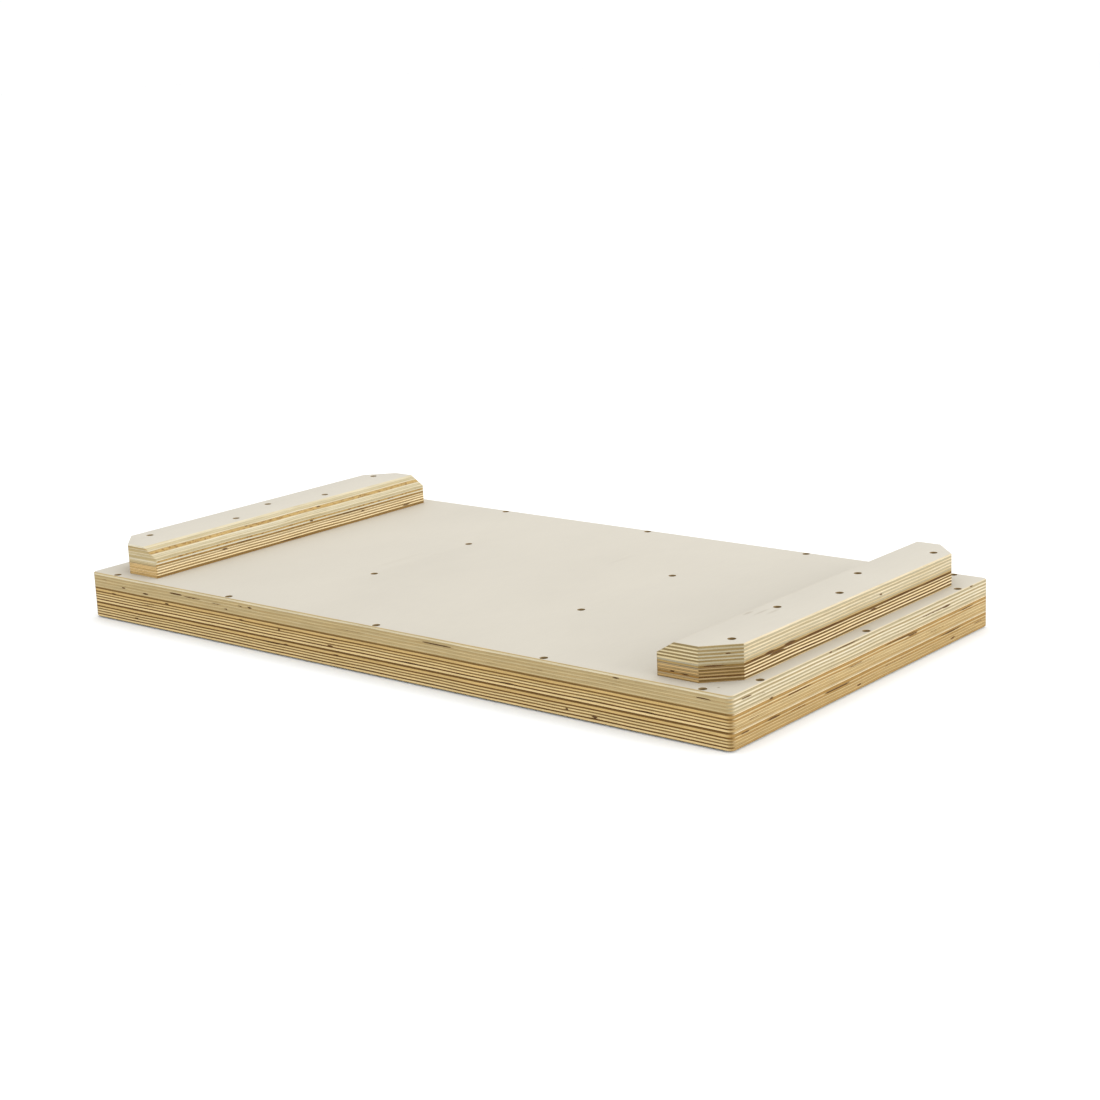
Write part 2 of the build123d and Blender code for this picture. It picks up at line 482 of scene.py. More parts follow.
def edge_relief(layup, depths, normals, mask):
    """Steps that each point lies back: groove at the glue, end grain, ripples and flaws."""
    bounds = ply_bounds(layup)
    ply = np.clip(np.searchsorted(bounds, depths, side="right") - 1, 0, len(layup["plies"]) - 1)
    from_glue = np.min(np.abs(depths[:, None] - bounds[1:-1]), axis=1)
    groove = GROOVE_DEPTH * np.clip(1 - from_glue / GROOVE_HALF, 0, 1)
    end_share = np.where(ply[:, None] % 2 == 0, np.abs(normals[:, 1]), np.abs(normals[:, 0]))
    rough = ripples(len(normals), len(layup["plies"]), (61, 97, 151, 233), 0.02)[ply]
    fade = np.clip(np.minimum(depths, bounds[-1] - depths) / 0.3, 0, 1)
    relief = groove[:, None] + END_GRAIN_DEPTH * end_share + np.abs(rough) + FLAW_DEPTH * mask
    return relief * fade[:, None]


# %% [markdown]
# ## Screw holes
#
# Every screw sits at the bottom of a round pocket, and the walls of its hole are painted dark brown
# as the shade that falls in the hollow. The frame knows where the screws are: the lowest points of
# a node are the tips of its screws, and the top of its box is the height of their heads. A hole is
# a profile turned about the screw's axis, a stack of rings from the face of the wood down past the
# head and into the bore.

# %% Hole profiles
POCKET_RADIUS = 2.8
BORE_RADIUS = 1.55
HEAD_RIM = 0.35
COLLAR = 0.16
POINT_LENGTH = 3.0
POCKET_SEGMENTS = 40
BORE_SEGMENTS = 16


def screw_places(node):
    """The (x, y) in steps of every screw in a node: where its lowest points lie."""
    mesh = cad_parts[node].data
    points = np.empty(len(mesh.vertices) * 3, np.float32)
    mesh.vertices.foreach_get("co", points)
    points = points.reshape(-1, 3) / STEP
    tips = points[points[:, 2] < points[:, 2].min() + 0.01]
    return np.unique(np.round(tips[:, :2], 2), axis=0)


def row_of_holes(node):
    """The holes that a node's screws need: their places, and the heights of their heads and tips."""
    low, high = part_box(node)
    return screw_places(node), high.z / STEP, low.z / STEP


def hole_profile(top, bottom, head, tip):
    """Rings of one hole in a layer, as rows of (radius, height, painted shade of the wall), downwards.

    A layer that holds the screw's head has a pocket with a worn rim, a cone under the head and a
    bore. Any other layer has a plain bore, which ends in a point if the screw's tip is in it.
    """
    # The third value of each ring is how dark its wall is painted: painted shade in the hole.
    rings = []
    if bottom < head < top:
        cone = POCKET_RADIUS - BORE_RADIUS
        under_head = head - HEAD_RIM
        rings += [
            (POCKET_RADIUS + COLLAR, top, 0.0),
            (POCKET_RADIUS + 0.07, top - 0.01, 0.5),
            (POCKET_RADIUS + 0.01, top - 0.08, 1.0),
            (POCKET_RADIUS, top - 0.3, 1.0),
            (POCKET_RADIUS, (top + head) / 2, 1.0),
            (POCKET_RADIUS, head, 1.0),
            (POCKET_RADIUS, under_head, 1.0),
            (BORE_RADIUS, under_head - cone, 1.0),
        ]
    else:
        rings += [(BORE_RADIUS, top, 0.0), (BORE_RADIUS, top - 0.5, 1.0)]
    if bottom < tip:
        rings += [(BORE_RADIUS, tip + POINT_LENGTH, 1.0), (0.0, tip - 0.05, 1.0)]
    else:
        rings += [(BORE_RADIUS, bottom + 0.5, 1.0), (BORE_RADIUS, bottom, 0.0)]
    return np.array(rings)


DECK_ROWS = ["front_edge_screws", "back_edge_screws", "left_end_screws", "right_end_screws", "field_screws"]
RAIL_ROWS = {"left": "left_rail_screws", "right": "right_rail_screws"}
for row in (*DECK_ROWS, *RAIL_ROWS.values()):
    print(row, "has", len(screw_places(row)), "screws")

# %% [markdown]
# ## Building a sheet
#
# A sheet is an edge grid, a stack of rings for each hole, and two flat faces that join them. The
# faces are cut into triangles that keep every rim point, so the mesh closes without a gap. Three
# numbers ride on the points for the materials: the depth in the layup, how much of a flaw is
# there, and how dark a screw hole's wall is painted, as the shade in the hollow.

# %% Mesh parts


class Parts:
    """Points, faces and point values that are collected into one closed mesh."""

    def __init__(self):
        self.points, self.faces, self.values = [], [], {"depth": [], "flaw": [], "scorch": []}
        self.count = 0

    def add(self, points, **values):
        """Adds an array of points with their values, and gives their numbers in the same shape."""
        size = points.shape[:-1]
        numbers = self.count + np.arange(int(np.prod(size))).reshape(size)
        self.count += numbers.size
        self.points.append(points.reshape(-1, 3))
        for name, kept in self.values.items():
            kept.append(np.broadcast_to(values.get(name, 0.0), size).ravel())
        return numbers

    def band(self, numbers, inward=False):
        """Quads between the rows of a grid that closes round its columns."""
        here, beside = numbers, np.roll(numbers, -1, axis=1)
        quads = np.stack([here[:-1], here[1:], beside[1:], beside[:-1]], axis=-1).reshape(-1, 4)
        self.faces += (quads[:, ::-1] if inward else quads).tolist()

    def face(self, rim, holes, upwards):
        """Triangles of a flat face, from its outer ring and the rings of its holes."""
        rings = [rim, *holes]
        numbers = np.concatenate(rings)
        flat = np.concatenate(self.points)[numbers][:, :2]
        loops, start = [], 0
        for ring in rings:
            loops.append(list(range(start, start + len(ring))))
            start += len(ring)
        found = delaunay_2d_cdt([Vector(p) for p in flat], [], loops, 2, 1e-6)
        origin = np.array([own[0] for own in found[3]])
        triangles = numbers[origin[np.array(found[2])]]
        a, b, c = (np.concatenate(self.points)[triangles[:, k]][:, :2] for k in range(3))
        area = (b - a)[:, 0] * (c - a)[:, 1] - (b - a)[:, 1] * (c - a)[:, 0]
        turned = (area > 0) != upwards
        triangles[turned] = triangles[turned][:, ::-1]
        self.faces += triangles.tolist()


SMOOTH_BELOW = math.radians(40)


def finished_piece(name, parts, node, material):
    """Makes the mesh, carries the point values over, and puts the piece in the CAD node's place."""
    piece = mesh_object(name, np.concatenate(parts.points) * STEP, parts.faces)
    for value_name, kept in parts.values.items():
        attribute = piece.data.attributes.new(value_name, "FLOAT", "POINT")
        attribute.data.foreach_set("value", np.concatenate(kept).astype(np.float32))
    piece.data.polygons.foreach_set("use_smooth", np.ones(len(piece.data.polygons), bool))
    piece.data.set_sharp_from_angle(angle=SMOOTH_BELOW)
    piece.data.materials.append(material)
    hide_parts(node)
    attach(piece, "root")
    triangles = sum(len(face) - 2 for face in parts.faces)
    print(name, "has", triangles, "triangles")
    return piece


def sheet_piece(name, node, plan, layup, holes, flaws, material, corner=1.0, rim=0.2, arris=0.2,
                bevel=None, spacing=1.8):
    """One sheet of plywood in the place of its CAD node.

    plan is the outline's corners. holes is a list of (places, head height, tip height). bevel
    gives, for each side and height, how far that side is drawn in besides its rims.
    """
    low, high = (float(point.z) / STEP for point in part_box(node))
    thickness = high - low
    depths = row_depths(layup, rim, arris) * thickness / ply_bounds(layup)[-1]
    sides = lines_through(np.array(plan))
    insets = np.repeat(rim_inset(depths, thickness, rim, arris)[:, None], len(sides), axis=1)
    radii = corner - insets[:, 0]
    if bevel:
        insets = bevel(sides, high - depths, insets)
    plan_points, normals = outlines(sides, insets, radii, spacing)
    x, y = plan_points[0].T
    mask = flaw_mask(plan_points, depths, flaws)
    pushed = plan_points - normals * edge_relief(layup, depths, normals, mask)[..., None]
    heights = high - depths[:, None] + waviness(x, y, depths, thickness)
    parts = Parts()
    edge = parts.add(
        np.concatenate([pushed, heights[..., None]], axis=-1),
        depth=np.broadcast_to(depths[:, None], mask.shape), flaw=mask,
    )
    parts.band(edge)
    top_rings, bottom_rings = [], []
    for places, head, tip in holes:
        for place in places:
            rings = add_hole(parts, place, hole_profile(high, low, head, tip), high)
            top_rings.append(rings[0])
            if tip < low:
                bottom_rings.append(rings[-1])
    parts.face(edge[0], top_rings, True)
    parts.face(edge[-1], bottom_rings, False)
    return finished_piece(name, parts, node, material)


def add_hole(parts, place, profile, high):
    """Adds the rings of one hole about a place; a ring of no radius becomes a single pole."""
    segments = POCKET_SEGMENTS if profile[0, 0] > POCKET_RADIUS else BORE_SEGMENTS
    angles = np.arange(segments) * (2 * math.pi / segments)
    open_rings = profile[profile[:, 0] > 0]
    rags = 0.04 * np.sin(angles * 5 + rng.uniform(0, 6)) + 0.03 * np.sin(angles * 11 + rng.uniform(0, 6))
    radius = open_rings[:, :1] + rags * np.minimum(open_rings[:, 2:], 1) * (open_rings[:, :1] > 2)
    rings = np.stack([
        place[0] + radius * np.cos(angles),
        place[1] + radius * np.sin(angles),
        np.broadcast_to(open_rings[:, 1:2], radius.shape),
    ], axis=-1)
    depth = high - rings[..., 2]
    # Painted shade of the hole's wall, ring by ring.
    scorch = np.broadcast_to(open_rings[:, 2:], radius.shape)
    numbers = parts.add(rings, depth=depth, scorch=scorch)
    parts.band(numbers, inward=True)
    if len(open_rings) < len(profile):
        pole = parts.add(np.array([[*place, profile[-1, 1]]]), depth=high - profile[-1, 1], scorch=1.0)
        last = numbers[-1]
        parts.faces += np.column_stack([last, np.roll(last, -1), np.full(segments, pole[0])]).tolist()
    return numbers


# %% [markdown]
# ## The plywood finish
#
# One recipe serves every sheet. A ramp with hard steps is the layup itself: its red channel says
# whether the ply's grain runs along the board, green and blue how bright the veneer is on the ends
# and on the sides, and alpha where the glue is. The direction that the surface faces then tells
# long grain from end grain. A dark veneer is also a redder one, so its brightness s multiplies red
# by s^0.7, green by s and blue by s^1.75. Over that go streaks along the grain, some of them
# warmer, pores, crumbs on the darkest end grain, ragged brown glue, painted shade on the walls of
# the screw holes and the flaws that the mesh carries.

# %% Plywood
BRIGHTEST = 2.0
MARK_BROWN = (0.20, 0.14, 0.07)
CRUMB_BROWN = (0.22, 0.12, 0.035)
FLAW_BROWN = (0.105, 0.050, 0.015)
# Brown of the painted shade on the walls of the screw holes.
POCKET_SHADE_BROWN = (0.22, 0.14, 0.05)
WARM_STREAK = (1.06, 0.95, 0.74)
CRUMBLY_TINT = (1.12, 0.93, 0.62)


def layup_stops(layup):
    """Ramp steps of a layup: each ply, then a thin glue line, as (position, red green blue alpha)."""
    bounds = ply_bounds(layup) / sum(layup["plies"])
    glue_half = 0.09 / sum(layup["plies"])
    stops = []
    for ply, (start, on_ends, on_sides) in enumerate(zip(bounds, layup["ends"], layup["sides"])):
        veneer = (float(ply % 2), on_ends / BRIGHTEST, on_sides / BRIGHTEST)
        if ply:
            stops.append((start - glue_half, (*veneer, 1.0)))
            stops.append((start + glue_half, (*veneer, 0.0)))
        else:
            stops.append((0.0, (*veneer, 0.0)))
    return stops


def plywood(name, layup, woods, joints, glue_dark=0.6, marks=(), crumble=0.3):
    """Plywood whose plies, grain and glue come from a layup.

    woods holds linear colours: face, long_y and end_y for the plies that run across the board,
    long_x and end_x for the plies that run along it, and glue. joints says how dark the sheet's top
    and bottom arrises are where another sheet touches them. marks are faint spots on the face, as
    (x, y, half length along x, half length along y, strength). crumble says how much the darkest
    plies crumble where their end grain shows.
    """
    wood = Finish(name)
    thickness = sum(layup["plies"])
    depth = wood.attribute("depth")
    ragged = 0.10 * wood.noise(wood.place, 0.35, 3.0)
    step = (depth + ragged) / thickness
    ramp = wood.node("ShaderNodeValToRGB", {"stops": layup_stops(layup)}, {"Fac": step})
    along_x, on_ends, on_sides = wood.parts(ramp)
    glue = Wire(wood, ramp.socket.node.outputs["Alpha"])
    facing = wood.parts(wood.node("ShaderNodeTexCoord", {}, {}, "Normal"))
    face_x, face_y, face_z = (abs(part) for part in facing)
    end = (1.5 * (along_x * face_x + (1 - along_x) * face_y)).clamped()
    flat = face_z.smooth(0.96, 0.995)

    in_sheet = wood.joined(wood.x * 0.05, wood.y * 0.05, depth)
    streaks = wood.noise(in_sheet, 0.9, 4.0, 0.6, shift=3.1)
    long_streaks = wood.noise(wood.joined(wood.x * 0.018, wood.y * 0.018, depth), 1.3, 3.0, 0.5, shift=9.4)
    hairs = wood.noise(wood.joined(wood.x * 0.07, wood.y * 0.07, depth * 3.2), 1.0, 3.0, 0.7, shift=12.6)
    speckle = wood.noise(wood.place, 1.6, 3.0, 0.7, shift=1.7)
    fibres_y = wood.noise(wood.joined(wood.x * 1.2, wood.y * 0.05, wood.z * 2.0), 1.0, 4.0, 0.6)
    fibres_x = wood.noise(wood.joined(wood.x * 0.05, wood.y * 1.2, wood.z * 2.0), 1.0, 4.0, 0.6, shift=5.0)
    clouds = wood.noise(wood.joined(wood.x * 0.012, wood.y * 0.007, depth * 0.4), 1.0, 3.0, 0.55, shift=2.2)

    wood_y = wood.mix(end, woods["long_y"], woods["end_y"])
    wood_x = wood.mix(end, woods["long_x"], woods["end_x"])
    to_ends = face_x / (face_x + face_y + 0.001)
    bright = BRIGHTEST * (to_ends * on_ends + (1 - to_ends) * on_sides)
    uneven = 0.42 * streaks + 0.40 * long_streaks + 0.55 * hairs + (0.1 + 0.3 * end) * speckle
    shade = bright * (1 + uneven)
    colour = wood.tinted(wood.mix(along_x, wood_y, wood_x), shade)
    warm_share = (0.15 + 2.2 * streaks + 1.6 * hairs).clamped()
    colour = wood.mix(warm_share, colour, wood.vector("MULTIPLY", colour, WARM_STREAK))
    face_shade = 1 + 0.10 * fibres_y + 0.10 * clouds
    face_colour = wood.brightened(woods["face"], face_shade)
    for x, y, half_x, half_y, strength in marks:
        away = (((wood.x - x) / half_x)**2 + ((wood.y - y) / half_y)**2)**0.5
        face_colour = wood.mix((1.4 - away).clamped() * strength, face_colour, MARK_BROWN)
    crumbly = (1 - bright).smooth(0.12, 0.26) * end * (1 - flat) * crumble
    colour = wood.mix(crumbly, colour, wood.vector("MULTIPLY", colour, CRUMBLY_TINT))
    crumb_noise = wood.noise(wood.joined(wood.x, wood.y * 0.6, wood.z), 0.4, 4.0, 0.75, shift=6.1)
    colour = wood.mix(0.9 * crumb_noise.smooth(0.02, 0.08) * crumbly, colour, CRUMB_BROWN)
    colour = wood.mix(flat, colour, face_colour)

    glue_gaps = (0.75 + 1.6 * wood.noise(in_sheet, 1.4, 3.0, 0.6, shift=7.7)).clamped()
    glue_share = glue * glue_gaps * glue_dark * (1 - flat)
    colour = wood.mix(glue_share, colour, woods["glue"])
    top_arris = ((0.26 - depth) / 0.1).clamped() * joints[0]
    bottom_arris = ((depth - thickness + 0.26) / 0.1).clamped() * joints[1]
    colour = wood.mix((top_arris + bottom_arris) * (1 - flat) * glue_gaps, colour, woods["glue"])

    rags = wood.noise(wood.joined(wood.x * 0.3, wood.y * 0.3, depth * 1.8), 1.0, 3.0, 0.65, shift=4.4)
    flaw = (wood.attribute("flaw") + 1.1 * rags).smooth(0.32, 0.62)
    colour = wood.mix(0.95 * flaw, colour, FLAW_BROWN)
    # Painted shade: the walls of the screw holes are darkened to brown, as the shade in the hollow.
    scorch = (wood.attribute("scorch") * (1 + 0.8 * speckle)).clamped()
    colour = wood.mix(scorch * 0.8, colour, POCKET_SHADE_BROWN)

    grain = along_x * fibres_x + (1 - along_x) * fibres_y
    height = (0.02 * grain * (1 - end) + 0.05 * end * speckle + 0.02 * speckle) * STEP
    rough = 0.62 + 0.15 * end + 0.1 * grain
    normal = wood.bump(height)
    return wood.finish(Base_Color=colour, Roughness=rough, Specular_IOR_Level=0.2, Normal=normal)


FACE_VENEER = (0.535, 0.50, 0.427)
DARK_GLUE = (0.055, 0.026, 0.008)
BROWN_GLUE = (0.13, 0.075, 0.027)
DECK_TOP_WOODS = {
    "face": FACE_VENEER, "long_y": (0.57, 0.50, 0.36), "end_y": (0.42, 0.318, 0.16),
    "long_x": (0.49, 0.392, 0.207), "end_x": (0.33, 0.287, 0.183), "glue": BROWN_GLUE,
}
DECK_CORE_WOODS = {
    "face": FACE_VENEER, "long_y": (0.575, 0.458, 0.268), "end_y": (0.20, 0.120, 0.036),
    "long_x": (0.69, 0.525, 0.26), "end_x": (0.385, 0.28, 0.130), "glue": DARK_GLUE,
}
CAP_WOODS = {
    "left": {
        "face": FACE_VENEER, "long_y": (0.54, 0.478, 0.33), "end_y": (0.52, 0.433, 0.255),
        "long_x": (0.52, 0.433, 0.255), "end_x": (0.46, 0.408, 0.275), "glue": BROWN_GLUE,
    },
    "right": {
        "face": FACE_VENEER, "long_y": (0.575, 0.497, 0.348), "end_y": (0.245, 0.182, 0.08),
        "long_x": (0.62, 0.515, 0.305), "end_x": (0.36, 0.315, 0.208), "glue": BROWN_GLUE,
    },
}
STRIP_WOODS = {
    "left": {
        "face": FACE_VENEER, "long_y": (0.82, 0.67, 0.42), "end_y": (0.65, 0.46, 0.21),
        "long_x": (0.65, 0.46, 0.21), "end_x": (0.25, 0.16, 0.057), "glue": DARK_GLUE,
    },
    "right": {
        "face": FACE_VENEER, "long_y": (0.72, 0.58, 0.35), "end_y": (0.32, 0.213, 0.085),
        "long_x": (0.57, 0.40, 0.18), "end_x": (0.14, 0.082, 0.022), "glue": DARK_GLUE,
    },
}
DECK_MARKS = [
    (287.7, -153.4, 0.8, 0.9, 0.7), (38, 74, 2.0, 16.0, 0.05), (-114, -13, 3.0, 22.0, 0.04),
]
CAP_MARKS = {
    "left": [],
    "right": [
        (256, -73, 1.3, 5.0, 0.3), (262, -66, 1.0, 8.0, 0.25), (268, -61, 1.2, 7.0, 0.2),
    ],
}
CAP_CRUMBLE = {"left": 1.0, "right": 0.3}
top_finish = plywood("pale birch plywood", TOP_SHEET, DECK_TOP_WOODS, (0.0, 0.7), glue_dark=0.35,
                     marks=DECK_MARKS)
middle_finish = plywood("warm birch plywood", MIDDLE_SHEET, DECK_CORE_WOODS, (0.6, 0.7), glue_dark=0.8)
bottom_finish = plywood("brown birch plywood", BOTTOM_SHEET, DECK_CORE_WOODS, (0.6, 0.0), glue_dark=0.8)
cap_finishes = {
    side: plywood(f"{side} cap plywood", CAP_SHEETS[side], CAP_WOODS[side], (0.0, 0.9), 0.5,
                  CAP_MARKS[side], CAP_CRUMBLE[side])
    for side in CAP_WOODS
}
strip_finishes = {
    side: plywood(f"{side} strip plywood", STRIP_SHEETS[side], STRIP_WOODS[side], (0.8, 0.9),
                  glue_dark=0.9)
    for side in STRIP_WOODS
}

# %% [markdown]
# ## The deck
#
# Three sheets share one outline. The top rim of the top sheet and the bottom rim of the bottom
# sheet are sanded round, and every other rim only has its arris taken off, so a fine dark line
# lies between two sheets. The flaws are listed one by one, as a maker would mark them on a drawing:
# where along the edge, how deep, how long, how high and how strong.

# %% Deck sheets
DECK_CORNER = 4.0
DECK_RIM = 1.2
ARRIS = 0.2
deck_low, deck_high = (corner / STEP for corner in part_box("top_panel"))
deck_plan = [
    (deck_low.x, deck_low.y), (deck_high.x, deck_low.y),
    (deck_high.x, deck_high.y), (deck_low.x, deck_high.y),
]
front, back = deck_low.y, deck_high.y
left, right = deck_low.x, deck_high.x
TOP_FLAWS = [
    (-206, front, 5.0, 17, 1.5, 1.0), (-188, front, 5.6, 24, 1.1, 0.7), (-242, front, 9.6, 8, 1.6, 1.0),
    (-268, front, 8.3, 5, 1.4, 0.9), (-124, front, 4.2, 5, 1.2, 1.0), (-134, front, 4.4, 4, 1.0, 0.8),
    (-160, front, 6.4, 14, 0.9, 0.5), (-290, front, 4.6, 8, 0.8, 0.5), (-150, front, 9.0, 4, 1.3, 0.8),
    (62, front, 4.0, 34, 1.1, 1.0), (150, front, 7.6, 16, 0.7, 0.4), (-20, front, 6.6, 30, 0.7, 0.4),
    (216, front, 2.6, 7, 1.1, 0.9), (284, front, 4.6, 14, 1.0, 0.9), (110, front, 9.4, 12, 0.7, 0.4),
    (right, 103, 6.5, 14, 1.6, 1.0), (right, 84, 6.5, 40, 1.1, 0.6), (right, -50, 1.2, 3.5, 1.5, 1.0),
    (right, -30, 1.2, 36, 0.9, 0.8), (right, 140, 0.7, 4, 1.2, 1.0), (right, -148, 4.6, 14, 1.0, 0.9),
    (right, -132, 7.0, 10, 0.9, 0.5), (right, 40, 8.9, 20, 0.7, 0.4), (right, 6, 3.9, 30, 0.7, 0.4),
    (left, 70, 5.0, 30, 1.0, 0.8), (left, -90, 8.4, 16, 0.9, 0.7), (-60, back, 6.0, 20, 1.0, 0.8),
    (150, back, 3.7, 8, 1.1, 0.9), (-200, back, 8.4, 26, 0.9, 0.6), (250, back, 6.1, 12, 1.0, 0.7),
]
MIDDLE_FLAWS = [
    (-217, front, 2.4, 5, 1.3, 1.0), (-134, front, 3.0, 6, 1.3, 0.9), (-38, front, 3.3, 6, 1.2, 1.0),
    (-94, front, 4.4, 3, 1.9, 0.9), (36, front, 9.4, 24, 1.3, 1.0), (125, front, 9.4, 20, 1.3, 1.0),
    (-42, front, 8.6, 7, 1.6, 0.7), (240, front, 9.3, 16, 1.2, 1.0), (-280, front, 2.9, 6, 1.2, 0.9),
    (85, front, 9.3, 30, 0.8, 0.6), (190, front, 9.4, 30, 0.8, 0.6), (-240, front, 6.4, 18, 0.8, 0.5),
    (right, -120, 1.2, 4.5, 2.0, 1.0), (right, -88, 4.3, 36, 1.0, 1.0), (right, 41, 2.2, 54, 1.0, 0.9),
    (right, 56, 3.2, 16, 1.1, 0.9), (right, 132, 3.0, 28, 1.0, 0.9), (right, -20, 5.2, 26, 0.8, 0.6),
    (right, -140, 8.0, 16, 0.8, 0.6), (right, 90, 7.9, 34, 0.7, 0.5), (left, 20, 5.0, 40, 0.9, 0.8),
    (left, -110, 8.4, 24, 1.0, 0.7), (90, back, 4.4, 18, 1.0, 0.8), (-170, back, 9.4, 30, 1.0, 0.9),
]
BOTTOM_FLAWS = [
    (-101, front, 3.4, 26, 1.2, 0.9), (-87, front, 3.0, 5, 1.8, 0.9), (-36, front, 2.8, 5, 1.2, 1.0),
    (198, front, 8.2, 5, 2.0, 1.0), (-255, front, 7.2, 5, 1.9, 1.0), (175, front, 6.4, 3, 1.6, 1.0),
    (60, front, 9.4, 40, 0.8, 0.6), (-10, front, 9.4, 30, 0.8, 0.6), (230, front, 3.2, 20, 0.8, 0.5),
    (right, -43, 3.3, 38, 1.1, 1.0), (right, -118, 2.6, 18, 1.4, 0.9), (right, 110, 2.6, 36, 1.1, 1.0),
    (right, -15, 8.4, 6, 1.6, 1.0), (right, 113, 8.0, 8, 1.5, 1.0), (right, -150, 2.9, 12, 1.0, 0.9),
    (right, -90, 3.9, 30, 0.8, 0.6), (right, 30, 5.0, 40, 0.8, 0.5), (right, 150, 5.6, 14, 0.9, 0.6),
    (left, 90, 3.2, 30, 0.9, 0.9), (left, -40, 7.2, 12, 1.1, 0.7), (-20, back, 8.3, 16, 1.0, 0.8),
]
deck_holes = [row_of_holes(row) for row in DECK_ROWS]
rail_holes = {side: row_of_holes(row) for side, row in RAIL_ROWS.items()}
top_holes = deck_holes + list(rail_holes.values())
sheet_piece("top_sheet", "top_panel", deck_plan, TOP_SHEET, top_holes, TOP_FLAWS, top_finish,
            corner=DECK_CORNER, rim=DECK_RIM, arris=ARRIS)
sheet_piece("middle_sheet", "middle_panel", deck_plan, MIDDLE_SHEET, top_holes, MIDDLE_FLAWS, middle_finish,
            corner=DECK_CORNER, rim=ARRIS, arris=ARRIS)
sheet_piece("bottom_sheet", "bottom_panel", deck_plan, BOTTOM_SHEET, deck_holes, BOTTOM_FLAWS, bottom_finish,
            corner=DECK_CORNER, rim=ARRIS, arris=DECK_RIM)

# %% [markdown]
# ## The rails
#
# Each rail is a strip of nine plies under a cap of thirteen. Both have their two outer corners cut
# off, and the cap has a wide bevel along its inner edge, which leads up and over the rail. The left
# rail is the right one mirrored: mirroring the corner list turns it the other way round, so it is
# read backwards to stay anticlockwise.

# %% Rails
CORNER_CUT = 20.5
BEVEL_WIDTH = 13.6
BEVEL_DROP = 8.2
BEVEL_RIM = 0.3
RAIL_TOP_RIM = 0.5
RAIL_CORNER = 1.0
RAIL_SPACING = 1.5
CAP_FLAWS = {
    "left": [
        (-241, -103, 1.5, 4, 1.0, 0.8), (-246, -51, 3.6, 5, 1.2, 0.9), (-242, -81, 8.4, 4, 1.0, 0.9),
        (-242, 42, 8.4, 4, 1.0, 0.8), (-240, 15, 12.0, 5, 1.4, 1.0), (-247, 31, 3.8, 8, 1.0, 0.7),
        (-247, 75, 4.0, 24, 0.9, 0.5), (-247, -20, 4.1, 40, 0.9, 0.4), (-293, 60, 6.4, 18, 0.9, 0.8),
        (-240, -60, 13.4, 30, 0.9, 0.6), (-240, 60, 13.5, 50, 1.0, 0.7),
    ],
    "right": [
        (293, 34, 7.2, 3.5, 1.5, 1.0), (293, -103, 13.2, 14, 2.2, 1.0), (293, -80, 13.0, 16, 2.6, 1.0),
        (286, -140, 5.6, 4, 1.3, 1.0), (293, 60, 13.3, 60, 1.3, 0.8), (293, -40, 13.3, 60, 1.5, 0.9),
        (293, 110, 13.5, 40, 1.0, 0.8), (293, -119, 13.4, 16, 1.4, 0.9), (280, -147, 13.2, 18, 1.6, 0.8),
        (240, 60, 12.0, 14, 1.0, 0.8), (240, -70, 11.0, 6, 1.0, 0.8),
    ],
}
STRIP_FLAWS = {
    "left": [
        (-240, -82, 1.0, 7, 1.5, 1.0), (-240, 76, 1.2, 5, 1.4, 1.0), (-240, 130, 6.6, 12, 1.4, 0.7),
        (-240, -10, 7.9, 30, 1.2, 0.9), (-293, -60, 3.4, 20, 1.0, 0.8), (-240, 40, 3.4, 20, 0.8, 0.6),
    ],
    "right": [
        (293, 24, 1.0, 9, 1.6, 0.9), (293, -60, 5.6, 22, 1.2, 0.8), (262, -153, 5.4, 7, 1.2, 0.9),
        (252, -153, 4.6, 4, 1.4, 0.9), (240, 20, 5.6, 22, 1.0, 0.7), (293, -95, 0.6, 20, 1.4, 0.9),
        (293, 80, 5.7, 30, 1.0, 0.8), (284, -144, 5.6, 8, 1.2, 0.8),
    ],
}


def rail_plan(side):
    """Corners of a rail seen from above, anticlockwise, from the box of its strip."""
    low, high = (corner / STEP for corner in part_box(f"{side}_rail_strip"))
    inner, outer = (low.x, high.x) if side == "right" else (high.x, low.x)
    cut = math.copysign(CORNER_CUT, outer)
    points = [
        (inner, low.y), (outer - cut, low.y), (outer, low.y + CORNER_CUT),
        (outer, high.y - CORNER_CUT), (outer - cut, high.y), (inner, high.y),
    ]
    return points if side == "right" else points[::-1]


def rail_bevel(side, top):
    """The bevel of one rail: above its foot, the inner side is drawn in by its slope times the rise."""
    inward = -1.0 if side == "right" else 1.0

    def drawn_in(sides, heights, insets):
        slope = BEVEL_WIDTH / BEVEL_DROP
        rise = np.clip(heights - (top - BEVEL_DROP), 0, BEVEL_DROP)
        inner = np.isclose(sides[:, 0], inward)
        return np.where(inner, insets * BEVEL_RIM + (slope * rise)[:, None], insets)

    return drawn_in


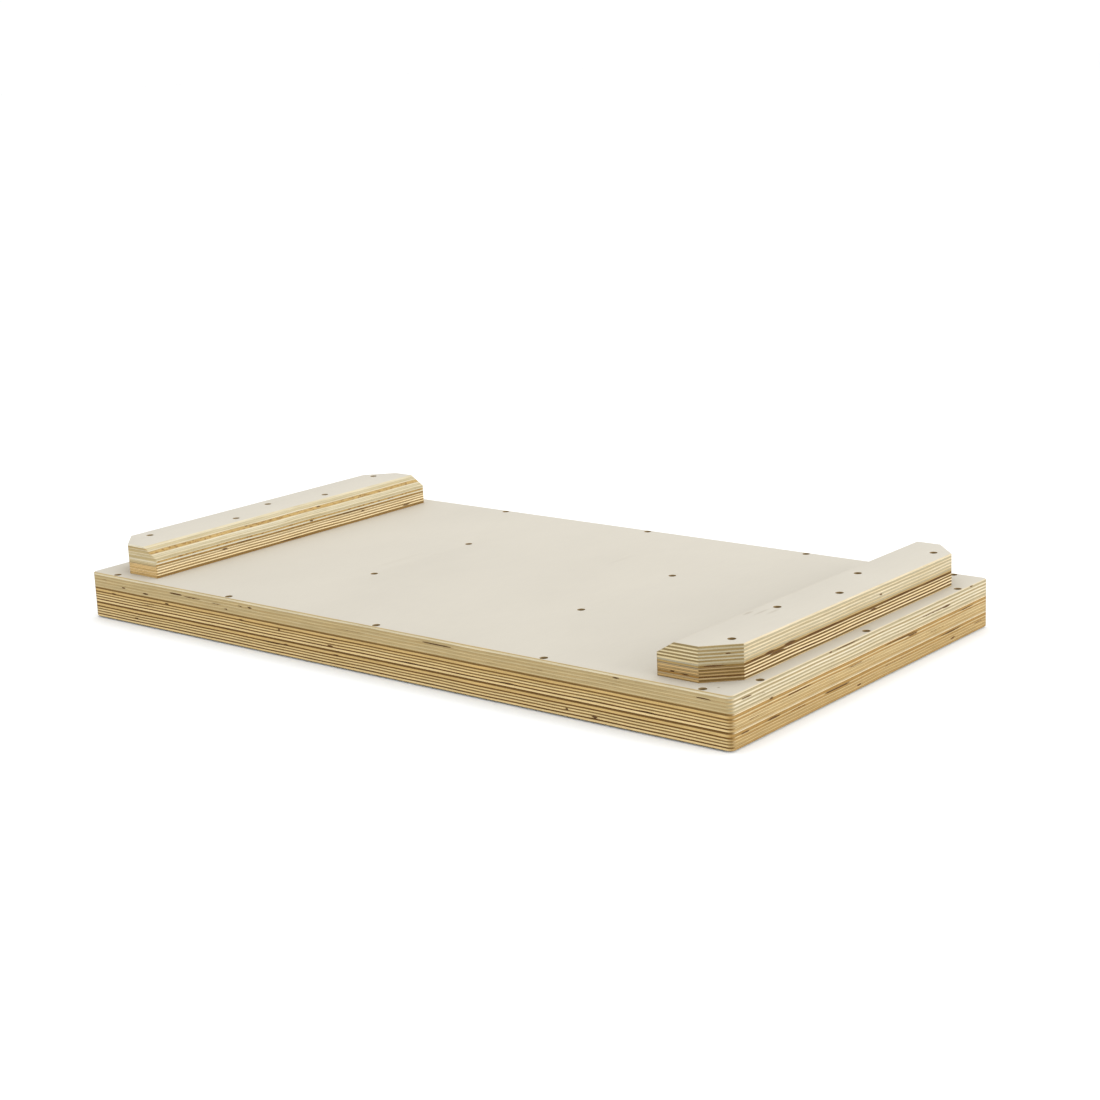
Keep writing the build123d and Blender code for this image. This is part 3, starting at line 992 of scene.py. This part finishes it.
for side in ("left", "right"):
    rail_plan_points = rail_plan(side)
    cap_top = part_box(f"{side}_rail_cap")[1].z / STEP
    sheet_piece(f"{side}_rail_lower_layer", f"{side}_rail_strip", rail_plan_points,
                STRIP_SHEETS[side], [rail_holes[side]], STRIP_FLAWS[side], strip_finishes[side],
                corner=RAIL_CORNER, rim=ARRIS, arris=ARRIS, spacing=RAIL_SPACING)
    sheet_piece(f"{side}_rail_upper_layer", f"{side}_rail_cap", rail_plan_points,
                CAP_SHEETS[side], [rail_holes[side]], CAP_FLAWS[side], cap_finishes[side],
                corner=RAIL_CORNER, rim=RAIL_TOP_RIM, arris=ARRIS,
                bevel=rail_bevel(side, cap_top), spacing=RAIL_SPACING)

# %% [markdown]
# ## The screws
#
# The screws keep their CAD meshes. They are hardened steel with a thin yellow zinc coat, which is
# blotchy. Metal reads by its reflections, so the colour only tints them. The fine turning marks of
# the head are too small to read one by one, so a little noise in the roughness and the bump stands
# in for them.

# %% Screw steel


def zinc_steel():
    """Yellow zinc over steel: a gold tint with cooler blotches, and slightly uneven gloss."""
    steel = Finish("yellow zinc steel")
    blotches = steel.noise(steel.place, 0.6, 3.0, 0.6)
    grains = steel.noise(steel.place, 6.0, 3.0, 0.6, shift=4.0)
    colour = steel.mix((0.5 + 1.6 * blotches).clamped(), (0.52, 0.40, 0.20), (0.46, 0.44, 0.38))
    rough = 0.34 + 0.2 * blotches + 0.15 * grains
    bump = steel.bump((0.01 * grains) * STEP)
    return steel.finish(Base_Color=colour, Metallic=1.0, Roughness=rough, Normal=bump)


screw_finish = zinc_steel()
for row in (*DECK_ROWS, *RAIL_ROWS.values()):
    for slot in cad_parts[row].material_slots:
        slot.material = screw_finish

# %% [markdown]
# ## Floor finish
#
# The floor is plain matt white. A trace of unevenness keeps it from looking like an empty page in
# a close view. Warm light comes back from the wood, so round the board the floor's colour is
# painted slightly cooler, a painted counter to that reflected light, and the floor stays a neutral
# white.

# %% Floor finish
COOL_HALF_LENGTH = 380
COOL_HALF_WIDTH = 250
PAINTED_COOL_WHITE = (0.955, 0.99, 1.02)
paper = Finish("white floor")
floor_tone = FLOOR_WHITE + 0.01 * paper.noise(paper.place, 0.01, 2.0)
# Painted counter to reflected light: the floor's colour turns cooler inside this oval round the board.
from_board = ((paper.x / COOL_HALF_LENGTH)**2 + (paper.y / COOL_HALF_WIDTH)**2)**0.5
painted_cool_floor = paper.mix(from_board.smooth(0.75, 1.7), PAINTED_COOL_WHITE, (1.0, 1.0, 1.0))
floor.data.materials.append(paper.finish(Base_Color=paper.brightened(painted_cool_floor, floor_tone), Roughness=0.9))
